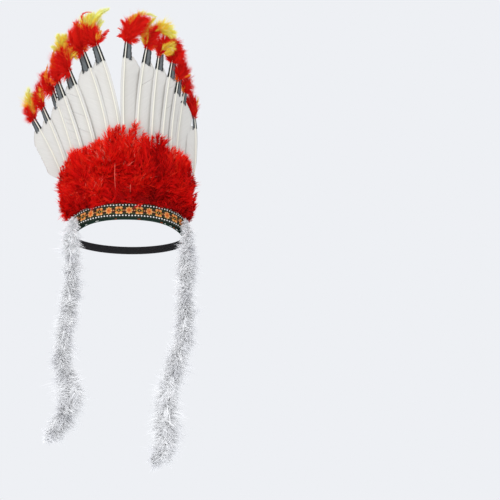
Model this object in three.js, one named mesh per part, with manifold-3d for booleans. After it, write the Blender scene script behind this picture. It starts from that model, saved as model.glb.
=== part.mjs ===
// Feather headdress: a curved browband that carries fourteen white quills, a red plume
// fringe and two white plume tails, closed behind by an elastic strap.
// Millimetres, +Z up, the front faces -Y, the origin is the centre of the head ring
// level with the lower edge of the woven trim.
import * as THREE from 'three';
import { mergeVertices } from 'three/addons/utils/BufferGeometryUtils.js';
import Module from 'manifold-3d';

const wasm = await Module();
wasm.setup();

// Head ring: inner radius at the front and sides, and its depth behind the centre
const RING_RADIUS = 90;
const RING_BACK_DEPTH = 98;
const BAND_END_ANGLE = 70;

// As worn, the band dips from the front to its ends, and the elastic behind levels out
const BAND_DIP = 16;
const DIP_POWER = 1.5;
const DIP_SLACK = 0.35;

// Gap between one sewn layer and the next
const LAYER_GAP = 0.3;

// Base band, the dark ground strip that everything is sewn to
const BASE_THICK = 1.5;
const BASE_INNER = RING_RADIUS;
const BASE_OUTER = BASE_INNER + BASE_THICK;
const BASE_BOTTOM = -2.5;
const BASE_TOP = 24;

// Quill shafts between the base band and the fringe backing
const SHAFT_BASE_HALF = 1.25;
const SHAFT_TIP_HALF = 0.7;
const SHAFT_BACK = 0.9;
const QUILL_RADIUS = BASE_OUTER + LAYER_GAP + SHAFT_BACK + 0.3;

// Fringe backing, in front of the shafts
const BACKING_THICK = 1.3;
const BACKING_INNER = QUILL_RADIUS + SHAFT_BASE_HALF + LAYER_GAP + 0.25;
const BACKING_OUTER = BACKING_INNER + BACKING_THICK;
const BACKING_BOTTOM = 2;
const BACKING_TOP = 26;

// Woven trim, outermost layer of the browband
const TRIM_THICK = 1.2;
const TRIM_INNER = BACKING_OUTER + LAYER_GAP;
const TRIM_OUTER = TRIM_INNER + TRIM_THICK;
const TRIM_BOTTOM = 0;
const TRIM_TOP = 21;

// Elastic strap, a long loop round the back with both ends inside the band
const STRAP_THICK = 1.3;
const STRAP_OUTER = BASE_INNER - LAYER_GAP;
const STRAP_BOTTOM = 5;
const STRAP_TOP = 17;
const STRAP_OVERLAP_ANGLE = 58;

// Quills
const QUILL_FOOT = 2;
const QUILL_KNEE = 27;
const QUILL_FRONT_LEAN = 6;
const VANE_THICK = 1;
const VANE_SEAM = 0.1;
const NARROW_VANE = 4.2;

// Black tips
const TIP_GAP = 0.35;
const TIP_THICK = 1;
const TIP_NARROW = 3.5;
const TIP_WIDE = 9;

// Tip tufts
const TUFT_GAP = 0.4;
const TUFT_HEAD_HALF = 3.2;

// Boas
const BOA_CORE = 11;
const BOA_REACH = 17.5;
const BOA_SIDES = 10;
const BOA_RINGS = 30;
const BOA_LOCK_DROP = 5;
const BOA_END = 14;

// One row for each quill from the wearer's right (left in the front view) to the left.
// angle: place on the band, reachX and rise: how far the shaft goes sideways and up from
// its knee above the band, bow: sideways bend at half length, front: extra lean to the
// front, face: direction that the vane faces,
// wing: side of the wide half of the vane, wide: its width, black: length of the black
// tip, start: share of the free shaft that stays bare below the vane,
// tuftX, tuftY, tuftZ: reach of the tuft from the end of the shaft, spread: half width.
const QUILLS = [
  { angle: -61, reachX: -67, rise: 147, bow: 6, front: 0, face: -22, wide: 20, black: 18,
    wing: -1, start: 0.40, tuftX: -10, tuftY: -5, tuftZ: 40, spread: 10 },
  { angle: -53, reachX: -60, rise: 159, bow: 4, front: 0, face: -19, wide: 17, black: 21,
    wing: -1, start: 0.37, tuftX: -6, tuftY: -11, tuftZ: 38, spread: 9 },
  { angle: -45, reachX: -53.5, rise: 179, bow: 4, front: 0, face: -16, wide: 16, black: 25,
    wing: -1, start: 0.37, tuftX: -11, tuftY: -3, tuftZ: 38, spread: 9 },
  { angle: -34.3, reachX: -58, rise: 188, bow: 4.4, front: 0, face: -12, wide: 16, black: 24,
    wing: -1, start: 0.37, tuftX: -13, tuftY: -11, tuftZ: 38, spread: 9 },
  { angle: -24, reachX: -57, rise: 203.5, bow: 8, front: 0, face: -8, wide: 17, black: 24,
    wing: -1, start: 0.37, tuftX: -17, tuftY: -3, tuftZ: 46, spread: 11 },
  { angle: -15, reachX: -50, rise: 233, bow: 12, front: 0, face: -5, wide: 17, black: 29,
    wing: -1, start: 0.35, tuftX: -14, tuftY: -9, tuftZ: 47, spread: 12 },
  { angle: -7, reachX: -42.5, rise: 242, bow: 14, front: 3, face: -2, wide: 17, black: 27,
    wing: -1, start: 0.35, tuftX: 5, tuftY: -2, tuftZ: 52, spread: 13 },
  { angle: 1.5, reachX: -10.5, rise: 246, bow: -8, front: 6, face: 1, wide: 21, black: 26,
    wing: 1, start: 0.35, tuftX: 6, tuftY: -4, tuftZ: 42, spread: 17 },
  { angle: 10, reachX: 6.5, rise: 240, bow: -8.6, front: 0, face: 5, wide: 19, black: 25,
    wing: 1, start: 0.35, tuftX: 9, tuftY: 1, tuftZ: 38, spread: 11 },
  { angle: 20.5, reachX: 9, rise: 230, bow: -4.5, front: 0, face: 12, wide: 17, black: 22,
    wing: 1, start: 0.35, tuftX: 15, tuftY: -7, tuftZ: 32, spread: 10 },
  { angle: 30.3, reachX: 15, rise: 224, bow: -5.2, front: 0, face: 20, wide: 17, black: 25,
    wing: 1, start: 0.35, tuftX: 9, tuftY: 4, tuftZ: 32, spread: 10 },
  { angle: 40.2, reachX: 12, rise: 200, bow: -4.6, front: 1, face: 35, wide: 17, black: 22,
    wing: 1, start: 0.34, tuftX: 9, tuftY: -5, tuftZ: 32, spread: 9 },
  { angle: 49.1, reachX: 11.6, rise: 187, bow: -5, front: 0, face: 45, wide: 17, black: 18,
    wing: 1, start: 0.34, tuftX: 8, tuftY: 5, tuftZ: 34, spread: 9 },
  { angle: 66, reachX: 13.4, rise: 161, bow: 8, front: 0, face: 60, wide: 16, black: 18,
    wing: -1, start: 0.47, tuftX: -6, tuftY: 3, tuftZ: 44, spread: 9 },
];

// Fringe plumes: height of their tops and how far these stand out in front of the trim,
// at a few places along the band
const FRINGE_CREST = [
  { angle: -78, top: 66, out: 12.4 },
  { angle: -60, top: 92, out: 25.4 },
  { angle: -45, top: 108, out: 20.4 },
  { angle: -28, top: 122, out: 16.4 },
  { angle: -10, top: 138, out: 13.4 },
  { angle: 8, top: 138, out: 13.4 },
  { angle: 24, top: 132, out: 12.4 },
  { angle: 40, top: 112, out: 12.4 },
  { angle: 58, top: 98, out: 13.4 },
  { angle: 78, top: 70, out: 12.4 },
];
const FRINGE_BACK_LOCKS = 27;
const FRINGE_FRONT_LOCKS = 17;
const FRINGE_ROOT = BACKING_OUTER + 1.9;
const FRINGE_ROOT_HEIGHT = 23.5;
const FRINGE_LEAN = 6;
const FRINGE_PARTING = { from: -66, to: -59.5 };

// Tails: where each is sewn to the front of the trim
const BOA_STANDOFF = 5.1;
const BOA_LEFT_SEWN = { angle: -53.7, z: 10 };
const BOA_RIGHT_SEWN = { angle: 55.7, z: 10 };

// Centre lines of the tails as steps from the sewn end, with the share of full width
const BOA_LEFT_LINE = [
  { x: 0, y: 0, z: 0, full: 0.38 },
  { x: -2.5, y: -1.8, z: -11, full: 0.52 },
  { x: -4, y: -1, z: -29, full: 0.8 },
  { x: -1.5, y: 12.6, z: -84, full: 1 },
  { x: -3, y: 14.6, z: -123, full: 0.95 },
  { x: -10, y: 14.6, z: -162, full: 0.95 },
  { x: -11, y: 14, z: -191, full: 1 },
  { x: -12.5, y: 12.6, z: -219, full: 1 },
  { x: 2, y: 10.6, z: -247, full: 1.05 },
  { x: 3, y: 10.6, z: -273, full: 1.05 },
  { x: -8, y: 10.6, z: -292, full: 1 },
  { x: -16, y: 10.6, z: -310, full: 0.9 },
  { x: -30, y: 10.6, z: -328, full: 0.55 },
];
const BOA_RIGHT_LINE = [
  { x: 0, y: 0, z: 0, full: 0.38 },
  { x: 3.5, y: -1.7, z: -11, full: 0.52 },
  { x: 4.5, y: 0, z: -31, full: 0.8 },
  { x: 4, y: 8, z: -62, full: 0.95 },
  { x: 2, y: 10, z: -110, full: 0.95 },
  { x: 2, y: 12, z: -159, full: 0.95 },
  { x: -2, y: 12, z: -185, full: 1 },
  { x: -17, y: 10, z: -226, full: 1.05 },
  { x: -22, y: 8, z: -255, full: 1.05 },
  { x: -24, y: 6, z: -282, full: 1 },
  { x: -26, y: 4, z: -308, full: 1.05 },
  { x: -25, y: 2, z: -335, full: 1.05 },
  { x: -31, y: 0, z: -352, full: 0.85 },
  { x: -45, y: -1, z: -357, full: 0.5 },
];

const PALETTE = {
  white: 0xe4e4de,
  shaft: 0xeeecdc,
  black: 0x33363a,
  red: 0xcc140c,
  trim: 0xcf7a26,
  base: 0x243a30,
  strap: 0x1b1b1d,
  boa: 0xe6e6ea,
};

const rad = (degrees) => (degrees * Math.PI) / 180;
const lerp = (a, b, t) => a + (b - a) * t;
const smooth = (t) => {
  const c = Math.min(1, Math.max(0, t));
  return c * c * (3 - 2 * c);
};

// Repeatable spread of values between -1 and 1
const wobble = (index, salt) => {
  const raw = Math.sin(index * 12.9898 + salt * 78.233) * 43758.5453;
  return 2 * (raw - Math.floor(raw)) - 1;
};

// A point on a circle about the vertical axis, angle 0 at the front
const ringPoint = (radius, angle, z) =>
  new THREE.Vector3(radius * Math.sin(rad(angle)), -radius * Math.cos(rad(angle)), z);

// How far the band has dropped where its radius points forward by this share
const bandDip = (forward) => {
  const t = (1 - forward) / (1 - Math.cos(rad(BAND_END_ANGLE)));
  if (t < 1) {
    return BAND_DIP * Math.max(0, t) ** DIP_POWER;
  }
  return BAND_DIP * (1 + DIP_SLACK * (1 - Math.exp((-DIP_POWER * (t - 1)) / DIP_SLACK)));
};

// The same point on the dipped band, z counted from the lower edge of the trim
const bandPoint = (radius, angle, z) => ringPoint(radius, angle, z - bandDip(Math.cos(rad(angle))));

const signedVolume = (points, faces) => {
  let total = 0;
  for (const [a, b, c] of faces) {
    total += points[a].dot(new THREE.Vector3().crossVectors(points[b], points[c]));
  }
  return total / 6;
};

const solidFrom = (points, faces) => {
  const turned = signedVolume(points, faces) < 0 ? faces.map(([a, b, c]) => [a, c, b]) : faces;
  const geometry = new THREE.BufferGeometry();
  const flat = points.flatMap((p) => [p.x, p.y, p.z]);
  geometry.setAttribute('position', new THREE.Float32BufferAttribute(flat, 3));
  geometry.setIndex(turned.flat());
  return geometry;
};

// Skins a run of equal closed rings; the flat outline closes both ends,
// or one last point closes the far end
const loft = (rings, outline, apex = null) => {
  const size = rings[0].length;
  const points = rings.flat().map((p) => p.clone());
  const faces = [];
  for (let i = 0; i + 1 < rings.length; i += 1) {
    for (let k = 0; k < size; k += 1) {
      const a = i * size + k;
      const b = i * size + ((k + 1) % size);
      faces.push([a, b, b + size]);
      faces.push([a, b + size, a + size]);
    }
  }
  const cap = THREE.ShapeUtils.triangulateShape(outline, []);
  const last = (rings.length - 1) * size;
  for (const [a, b, c] of cap) {
    faces.push([a, c, b]);
  }
  if (apex) {
    points.push(apex.clone());
    for (let k = 0; k < size; k += 1) {
      faces.push([last + k, last + ((k + 1) % size), points.length - 1]);
    }
  } else {
    for (const [a, b, c] of cap) {
      faces.push([last + a, last + b, last + c]);
    }
  }
  return solidFrom(points, faces);
};

const toManifold = (geometry) => {
  const merged = mergeVertices(geometry, 1e-5);
  return new wasm.Manifold(
    new wasm.Mesh({
      numProp: 3,
      vertProperties: Float32Array.from(merged.attributes.position.array),
      triVerts: Uint32Array.from(merged.index.array),
    }),
  );
};

const fuse = (geometries) => {
  const solids = geometries.map(toManifold);
  const joined = solids.reduce((all, next) => all.add(next));
  const mesh = joined.getMesh();
  const geometry = new THREE.BufferGeometry();
  const positions = new THREE.Float32BufferAttribute(Float32Array.from(mesh.vertProperties), 3);
  geometry.setAttribute('position', positions);
  geometry.setIndex(Array.from(mesh.triVerts));
  return geometry;
};

const group = new THREE.Group();

const addPart = (name, geometry, color) => {
  const material = new THREE.MeshStandardMaterial({ color, roughness: 0.8, metalness: 0 });
  const mesh = new THREE.Mesh(geometry, material);
  mesh.name = name;
  group.add(mesh);
};

// A thin upright wall along an arc of the ring
const arcWall = (inner, outer, bottom, top, endAngle, steps) => {
  const outline = [
    new THREE.Vector2(inner, bottom),
    new THREE.Vector2(outer, bottom),
    new THREE.Vector2(outer, top),
    new THREE.Vector2(inner, top),
  ];
  const rings = [];
  for (let i = 0; i <= steps; i += 1) {
    const angle = lerp(-endAngle, endAngle, i / steps);
    rings.push(outline.map((p) => bandPoint(p.x, angle, p.y)));
  }
  return loft(rings, outline);
};

// Browband
addPart(
  'base_band',
  arcWall(BASE_INNER, BASE_OUTER, BASE_BOTTOM, BASE_TOP, BAND_END_ANGLE, 36),
  PALETTE.base,
);
addPart(
  'browband_trim',
  arcWall(TRIM_INNER, TRIM_OUTER, TRIM_BOTTOM, TRIM_TOP, BAND_END_ANGLE, 36),
  PALETTE.trim,
);

// Elastic strap round the back
const STRAP_RADIUS = STRAP_OUTER - STRAP_THICK / 2;
const strapLine = () => {
  const points = [];
  for (let i = 0; i < 8; i += 1) {
    points.push(ringPoint(STRAP_RADIUS, lerp(-STRAP_OVERLAP_ANGLE, -90, i / 8), 0));
  }
  for (let i = 0; i <= 28; i += 1) {
    const turn = rad(lerp(180, 0, i / 28));
    points.push(new THREE.Vector3(STRAP_RADIUS * Math.cos(turn), RING_BACK_DEPTH * Math.sin(turn), 0));
  }
  for (let i = 7; i >= 0; i -= 1) {
    points.push(ringPoint(STRAP_RADIUS, lerp(STRAP_OVERLAP_ANGLE, 90, i / 8), 0));
  }
  return points;
};

const buildStrap = () => {
  const line = strapLine();
  const half = STRAP_THICK / 2;
  const outline = [
    new THREE.Vector2(-half, STRAP_BOTTOM),
    new THREE.Vector2(half, STRAP_BOTTOM),
    new THREE.Vector2(half, STRAP_TOP),
    new THREE.Vector2(-half, STRAP_TOP),
  ];
  const rings = line.map((p, i) => {
    const before = line[Math.max(0, i - 1)];
    const after = line[Math.min(line.length - 1, i + 1)];
    const run = after.clone().sub(before).normalize();
    const out = new THREE.Vector3(run.y, -run.x, 0);
    const dip = bandDip(-p.y / STRAP_RADIUS);
    return outline.map((q) => p.clone().addScaledVector(out, q.x).setZ(q.y - dip));
  });
  return loft(rings, outline);
};
addPart('elastic_strap', buildStrap(), PALETTE.strap);

// Place on a quill's centre line, with its tangent, side and face directions.
// t runs from -1 at the foot to 0 at the knee above the band and 1 at the end of the shaft.
// The side direction points to the wide half of the vane.
const quillFrame = (row, t) => {
  const knee = bandPoint(QUILL_RADIUS, row.angle, QUILL_KNEE);
  const tip = knee.clone();
  tip.x += row.reachX;
  tip.y -= QUILL_FRONT_LEAN + row.front;
  tip.z += row.rise;
  const pull = new THREE.Vector3().addVectors(knee, tip).multiplyScalar(0.5);
  pull.x += 2 * row.bow;
  pull.y -= row.front;
  const up = new THREE.Vector3(0, 0, 1);
  const place = knee.clone();
  const tangent = pull.clone().sub(knee).normalize();
  if (t > 0) {
    place.multiplyScalar((1 - t) * (1 - t));
    place.addScaledVector(pull, 2 * t * (1 - t)).addScaledVector(tip, t * t);
    tangent.subVectors(pull, knee).multiplyScalar(2 * (1 - t));
    tangent.addScaledVector(tip.clone().sub(pull), 2 * t).normalize();
  } else if (t > -0.2) {
    tangent.add(up).normalize();
  } else {
    place.z += t * (QUILL_KNEE - QUILL_FOOT);
    tangent.copy(up);
  }
  const facing = lerp(row.angle, row.face, smooth(t / 0.25));
  const face = ringPoint(1, facing, 0);
  face.addScaledVector(tangent, -face.dot(tangent)).normalize();
  const side = new THREE.Vector3().crossVectors(face, tangent).normalize();
  if (side.x * row.wing < 0) {
    side.negate();
  }
  return { place, tangent, face, side };
};

const quillLength = (row) => {
  let total = 0;
  let last = quillFrame(row, 0).place;
  for (let i = 1; i <= 24; i += 1) {
    const next = quillFrame(row, i / 24).place;
    total += next.distanceTo(last);
    last = next;
  }
  return total;
};

// Width of the vane beside the shaft: rises after the bare foot, falls at the shoulder
const vaneShare = (row, t, shoulder) => {
  const rise = Math.sqrt(smooth((t - row.start) / 0.14));
  const fall = Math.sqrt(smooth((shoulder - t) / 0.09));
  return Math.min(rise, fall);
};

const buildQuill = (row) => {
  const length = quillLength(row);
  const shoulder = 1 - (row.black - 5) / length;
  const stops = [-1, 0, row.start * 0.5, row.start, row.start + 0.05];
  for (let i = 0; i <= 3; i += 1) {
    stops.push(lerp(row.start + 0.13, shoulder - 0.09, i / 3));
  }
  stops.push(shoulder - 0.03, shoulder, 1);
  const half = VANE_THICK / 2;
  const rings = [];
  let outline = null;
  for (const t of stops) {
    const { place, face, side } = quillFrame(row, t);
    const a = lerp(SHAFT_BASE_HALF, SHAFT_TIP_HALF, Math.max(0, t));
    const share = vaneShare(row, t, shoulder);
    const wide = a + VANE_SEAM + share * (row.wide - a);
    const narrow = a + VANE_SEAM + share * (NARROW_VANE - a);
    const section = [
      new THREE.Vector2(-narrow, -half),
      new THREE.Vector2(-a * 0.6, -SHAFT_BACK),
      new THREE.Vector2(a * 0.6, -SHAFT_BACK),
      new THREE.Vector2(wide, -half),
      new THREE.Vector2(wide, half),
      new THREE.Vector2(a, half),
      new THREE.Vector2(a * 0.7, a),
      new THREE.Vector2(-a * 0.7, a),
      new THREE.Vector2(-a, half),
      new THREE.Vector2(-narrow, half),
    ];
    outline = outline ?? section;
    rings.push(
      section.map((p) => place.clone().addScaledVector(side, p.x).addScaledVector(face, p.y)),
    );
  }
  return loft(rings, outline);
};

// The black section is a thin plate behind the shaft, cut slanting at its lower end
const buildTip = (row) => {
  const length = quillLength(row);
  const back = -SHAFT_BACK - TIP_GAP;
  const corners = [
    { along: row.black, across: TIP_WIDE * 0.75 },
    { along: row.black - 8, across: TIP_WIDE },
    { along: 6, across: TIP_WIDE * 0.8 },
    { along: 0.5, across: TIP_WIDE * 0.45 },
    { along: 0.5, across: -TIP_NARROW * 0.5 },
    { along: row.black * 0.5, across: -TIP_NARROW * 0.85 },
    { along: row.black - 5, across: -TIP_NARROW },
    { along: row.black - 7, across: TIP_WIDE * 0.2 },
  ];
  const front = [];
  const rear = [];
  for (const corner of corners) {
    const { place, face, side } = quillFrame(row, 1 - corner.along / length);
    const spot = place.clone().addScaledVector(side, corner.across);
    front.push(spot.clone().addScaledVector(face, back));
    rear.push(spot.clone().addScaledVector(face, back - TIP_THICK));
  }
  const outline = corners.map((c) => new THREE.Vector2(c.across, -c.along));
  return loft([front, rear], outline);
};

// A tapering plume lock with a four-sided section, bent towards its end
const plumeLock = (from, to, bend, across, wide, thick, shares) => {
  const run = to.clone().sub(from);
  const side = across.clone().addScaledVector(run, -across.dot(run) / run.lengthSq()).normalize();
  const depth = new THREE.Vector3().crossVectors(run, side).normalize();
  const outline = [
    new THREE.Vector2(1, 0),
    new THREE.Vector2(0, 1),
    new THREE.Vector2(-1, 0),
    new THREE.Vector2(0, -1),
  ];
  const rings = shares.map(([t, share]) => {
    const centre = from.clone().addScaledVector(run, t).addScaledVector(bend, t * t);
    return outline.map((p) =>
      centre
        .clone()
        .addScaledVector(side, p.x * wide * share)
        .addScaledVector(depth, p.y * thick * share),
    );
  });
  return loft(rings, outline, to.clone().add(bend));
};

const TUFT_SHARES = [
  [0, 0.5],
  [0.5, 1],
];

// A tuft: short locks that fan out from a small spindle at the end of the quill
const buildTuft = (row, index) => {
  const { place, tangent, face, side } = quillFrame(row, 1);
  const reach = new THREE.Vector3(row.tuftX, row.tuftY, row.tuftZ);
  const foot = place.clone().addScaledVector(tangent, TUFT_GAP);
  const across = new THREE.Vector3(1, 0, 0);
  const spindle = [];
  const ringCount = 5;
  const heights = [
    [0, 0.35],
    [4, 1],
    [9, 0.8],
  ];
  const outline = [];
  for (let k = 0; k < ringCount; k += 1) {
    const turn = (2 * Math.PI * k) / ringCount;
    outline.push(new THREE.Vector2(Math.cos(turn), Math.sin(turn)));
  }
  for (const [rise, share] of heights) {
    const centre = foot.clone().addScaledVector(tangent, rise);
    spindle.push(
      outline.map((p) =>
        centre
          .clone()
          .addScaledVector(side, p.x * TUFT_HEAD_HALF * share)
          .addScaledVector(face, p.y * TUFT_HEAD_HALF * share * 0.8),
      ),
    );
  }
  const headTop = foot.clone().addScaledVector(tangent, 14);
  const pieces = [loft(spindle, outline, headTop)];
  const locks = [
    { sideways: 0, reach: 1, lift: 0, front: 0 },
    { sideways: -0.95, reach: 0.78, lift: 0.5, front: -1 },
    { sideways: 0.95, reach: 0.82, lift: 0.5, front: 1 },
    { sideways: -0.5, reach: 0.96, lift: 0.2, front: 2 },
    { sideways: 0.55, reach: 0.92, lift: 0.2, front: -2 },
  ];
  locks.forEach((lock, k) => {
    const start = foot.clone().addScaledVector(tangent, 4.5);
    const end = start.clone().addScaledVector(reach, lock.reach * (1 + 0.05 * wobble(index, k)));
    end.addScaledVector(across, lock.sideways * row.spread * 0.72);
    end.addScaledVector(face, lock.front);
    const bend = new THREE.Vector3(lock.sideways * row.spread * 0.28, 0, -2 * Math.abs(lock.sideways));
    pieces.push(plumeLock(start, end, bend, across, row.spread * 0.46, 3.6, TUFT_SHARES));
  });
  return fuse(pieces);
};

QUILLS.forEach((row, i) => {
  const number = String(i + 1).padStart(2, '0');
  addPart(`quill_${number}`, buildQuill(row), PALETTE.white);
});
QUILLS.forEach((row, i) => {
  const number = String(i + 1).padStart(2, '0');
  addPart(`black_tip_${number}`, buildTip(row), PALETTE.black);
});
QUILLS.forEach((row, i) => {
  const number = String(i + 1).padStart(2, '0');
  addPart(`tip_tuft_${number}`, buildTuft(row, i), PALETTE.red);
});

// Height and stand-out of the fringe top at an angle, read between the rows of its table
const crestAt = (angle) => {
  const rows = FRINGE_CREST;
  const last = rows.length - 2;
  const i = Math.max(0, Math.min(last, rows.findIndex((row) => angle <= row.angle) - 1));
  const k = angle > rows[last].angle ? last : i;
  const t = (angle - rows[k].angle) / (rows[k + 1].angle - rows[k].angle);
  const share = Math.min(1, Math.max(0, t));
  return {
    top: lerp(rows[k].top, rows[k + 1].top, share),
    out: lerp(rows[k].out, rows[k + 1].out, share),
  };
};

const FRINGE_SHARES = [
  [0, 0.85],
  [0.55, 1],
];

const fringeLock = (angle, fan, root, height, out, wide, thick) => {
  const from = bandPoint(root, angle, FRINGE_ROOT_HEIGHT);
  const to = ringPoint(TRIM_OUTER + out + FRINGE_LEAN, fan, height);
  const bend = ringPoint(-FRINGE_LEAN, fan, 0);
  const across = ringPoint(1, angle + 90, 0);
  return plumeLock(from, to, bend, across, wide, thick, FRINGE_SHARES);
};

const parted = (angle) => angle > FRINGE_PARTING.from && angle < FRINGE_PARTING.to;

const buildFringe = () => {
  const pieces = [
    arcWall(BACKING_INNER, BACKING_OUTER, BACKING_BOTTOM, BACKING_TOP, BAND_END_ANGLE, 30),
  ];
  for (let i = 0; i < FRINGE_BACK_LOCKS; i += 1) {
    const share = i / (FRINGE_BACK_LOCKS - 1);
    const angle = lerp(-BAND_END_ANGLE + 1.5, BAND_END_ANGLE - 3, share);
    const fan = angle * 1.06;
    const crest = crestAt(fan);
    const height = crest.top + 7 * wobble(i, 3);
    if (!parted(angle)) {
      pieces.push(fringeLock(angle, fan, FRINGE_ROOT, height, crest.out, 6.6, 4.2));
    }
  }
  for (let i = 0; i < FRINGE_FRONT_LOCKS; i += 1) {
    const share = i / (FRINGE_FRONT_LOCKS - 1);
    const angle = lerp(-BAND_END_ANGLE + 13, BAND_END_ANGLE - 4, share);
    const fan = angle * 1.04 + 3 * wobble(i, 8);
    const crest = crestAt(fan);
    const height = 0.66 * crest.top + 5 * wobble(i, 9);
    const root = FRINGE_ROOT + 1.8;
    pieces.push(fringeLock(angle, fan, root, height, crest.out + 5, 7.4, 4));
  }
  return fuse(pieces);
};
addPart('red_plume_fringe', buildFringe(), PALETTE.red);

// A tail: rings of plume locks round its centre line, each lock between two hollows,
// and every second ring turned by one place so that the locks interleave
const buildBoa = (sewn, line, salt) => {
  const start = bandPoint(TRIM_OUTER + BOA_STANDOFF, sewn.angle, sewn.z);
  const places = line.map((p) => new THREE.Vector3(p.x, p.y, p.z).add(start));
  const curve = new THREE.CatmullRomCurve3(places);
  const fullAt = (t) => {
    const spot = t * (line.length - 1);
    const k = Math.min(line.length - 2, Math.floor(spot));
    return lerp(line[k].full, line[k + 1].full, spot - k);
  };
  const outline = [];
  for (let k = 0; k < BOA_SIDES; k += 1) {
    const turn = (2 * Math.PI * k) / BOA_SIDES;
    outline.push(new THREE.Vector2(Math.cos(turn), Math.sin(turn)));
  }
  const rings = [];
  for (let i = 0; i <= BOA_RINGS; i += 1) {
    const t = i / BOA_RINGS;
    const place = curve.getPointAt(t);
    const run = curve.getTangentAt(t);
    const first = new THREE.Vector3(0, -1, 0).addScaledVector(run, run.y).normalize();
    const second = new THREE.Vector3().crossVectors(run, first).normalize();
    const full = fullAt(t);
    const ring = outline.map((p, k) => {
      const lock = (i + k) % 2 === 0;
      const reach = BOA_REACH * (1 + 0.12 * wobble(i * BOA_SIDES + k, salt));
      const size = full * (lock ? reach : BOA_CORE);
      const drop = lock && i < BOA_RINGS ? BOA_LOCK_DROP : 0;
      return place
        .clone()
        .addScaledVector(first, p.x * size)
        .addScaledVector(second, p.y * size)
        .addScaledVector(run, drop);
    });
    rings.push(ring);
  }
  const end = curve.getPointAt(1).addScaledVector(curve.getTangentAt(1), BOA_END);
  return loft(rings, outline, end);
};
addPart('boa_left', buildBoa(BOA_LEFT_SEWN, BOA_LEFT_LINE, 11), PALETTE.boa);
addPart('boa_right', buildBoa(BOA_RIGHT_SEWN, BOA_RIGHT_LINE, 17), PALETTE.boa);

export default group;
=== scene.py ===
import math

import bpy
import numpy as np
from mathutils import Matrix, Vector


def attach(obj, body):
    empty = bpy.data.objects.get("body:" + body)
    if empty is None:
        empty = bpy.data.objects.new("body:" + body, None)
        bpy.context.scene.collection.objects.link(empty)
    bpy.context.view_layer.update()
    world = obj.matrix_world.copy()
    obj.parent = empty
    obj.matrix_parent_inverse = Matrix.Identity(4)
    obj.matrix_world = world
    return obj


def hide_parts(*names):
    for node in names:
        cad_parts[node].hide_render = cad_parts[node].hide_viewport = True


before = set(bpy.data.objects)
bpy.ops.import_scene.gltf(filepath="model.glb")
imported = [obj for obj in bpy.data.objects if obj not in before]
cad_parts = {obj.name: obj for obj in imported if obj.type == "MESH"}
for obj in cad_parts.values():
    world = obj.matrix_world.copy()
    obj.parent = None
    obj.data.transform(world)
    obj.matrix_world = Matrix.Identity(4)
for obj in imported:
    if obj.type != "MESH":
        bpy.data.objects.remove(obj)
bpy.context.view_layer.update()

MM = 0.001
PICTURE_SIDE = 500
UP = np.array([0, 0, 1.0])


def named(columns, rows):
    """Rows of a table, each with its values by the names of the columns."""
    return [dict(zip(columns, row)) for row in rows]


# Layers of the browband, from the source of the part
BASE_OUTER = 91.5
QUILL_RADIUS = 93.0
TRIM_INNER = 96.4
TRIM_OUTER = 97.6
TRIM_TOP = 21.0
BAND_END_ANGLE = 70.0
QUILL_FOOT = 2.0
QUILL_KNEE = 27.0
QUILL_FRONT_LEAN = 6.0
BAND_DIP = 16.0
DIP_POWER = 1.5
DIP_SLACK = 0.35

# One row for each quill, from the left of the front view to the right.
# angle: place on the band, reach and rise: how far the shaft goes sideways and up,
# bow: sideways bend, front: extra lean to the front, face: where it faces near its tip,
# wing: side of the wide vane, wide: its width, black and black_wide: length and width
# of the black section, start: share of the shaft that is bare, splits: gaps in the vane
QUILL_COLUMNS = (
    "angle", "reach", "rise", "bow", "front", "face", "wing", "wide", "black",
    "black_wide", "start", "splits",
)
QUILL_ROWS = (
    (-61, -67, 147, 6, 0, -22, -1, 20, 18, 7.0, 0.36, 0),
    (-53, -60, 159, 4, 0, -19, -1, 21, 21, 6.0, 0.30, 0),
    (-45, -53.5, 179, 4, 0, -16, -1, 21, 25, 6.0, 0.30, 0),
    (-34.3, -58, 188, 4.4, 0, -12, -1, 23, 24, 9.0, 0.29, 4),
    (-24, -57, 203.5, 8, 0, -8, -1, 25, 24, 10.0, 0.29, 3),
    (-15, -50, 233, 12, 0, -5, -1, 26, 29, 11.0, 0.30, 0),
    (-7, -42.5, 242, 14, 3, -2, -1, 24, 27, 9.5, 0.30, 0),
    (1.5, -10.5, 246, -8, 6, 1, 1, 26, 26, 9.0, 0.30, 0),
    (10, 6.5, 240, -8.6, 0, 5, 1, 21, 25, 9.0, 0.30, 1),
    (20.5, 9, 230, -4.5, 0, 12, 1, 20, 22, 8.5, 0.30, 0),
    (30.3, 15, 224, -5.2, 0, 18, 1, 20, 25, 7.5, 0.30, 2),
    (40.2, 12, 200, -4.6, 1, 28, 1, 22, 22, 7.0, 0.30, 0),
    (49.1, 11.6, 187, -5, 0, 36, 1, 24, 18, 6.0, 0.30, 0),
    (66, 13.4, 161, 8, 0, 44, -1, 19, 18, 5.0, 0.44, 0),
)
QUILLS = named(QUILL_COLUMNS, QUILL_ROWS)
# The vanes overlap like shingles: each passes behind the shaft of the next quill outwards
for here, outer in [*zip(QUILLS[1:7], QUILLS[:6]), *zip(QUILLS[7:12], QUILLS[8:13])]:
    here["behind"] = outer

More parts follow.
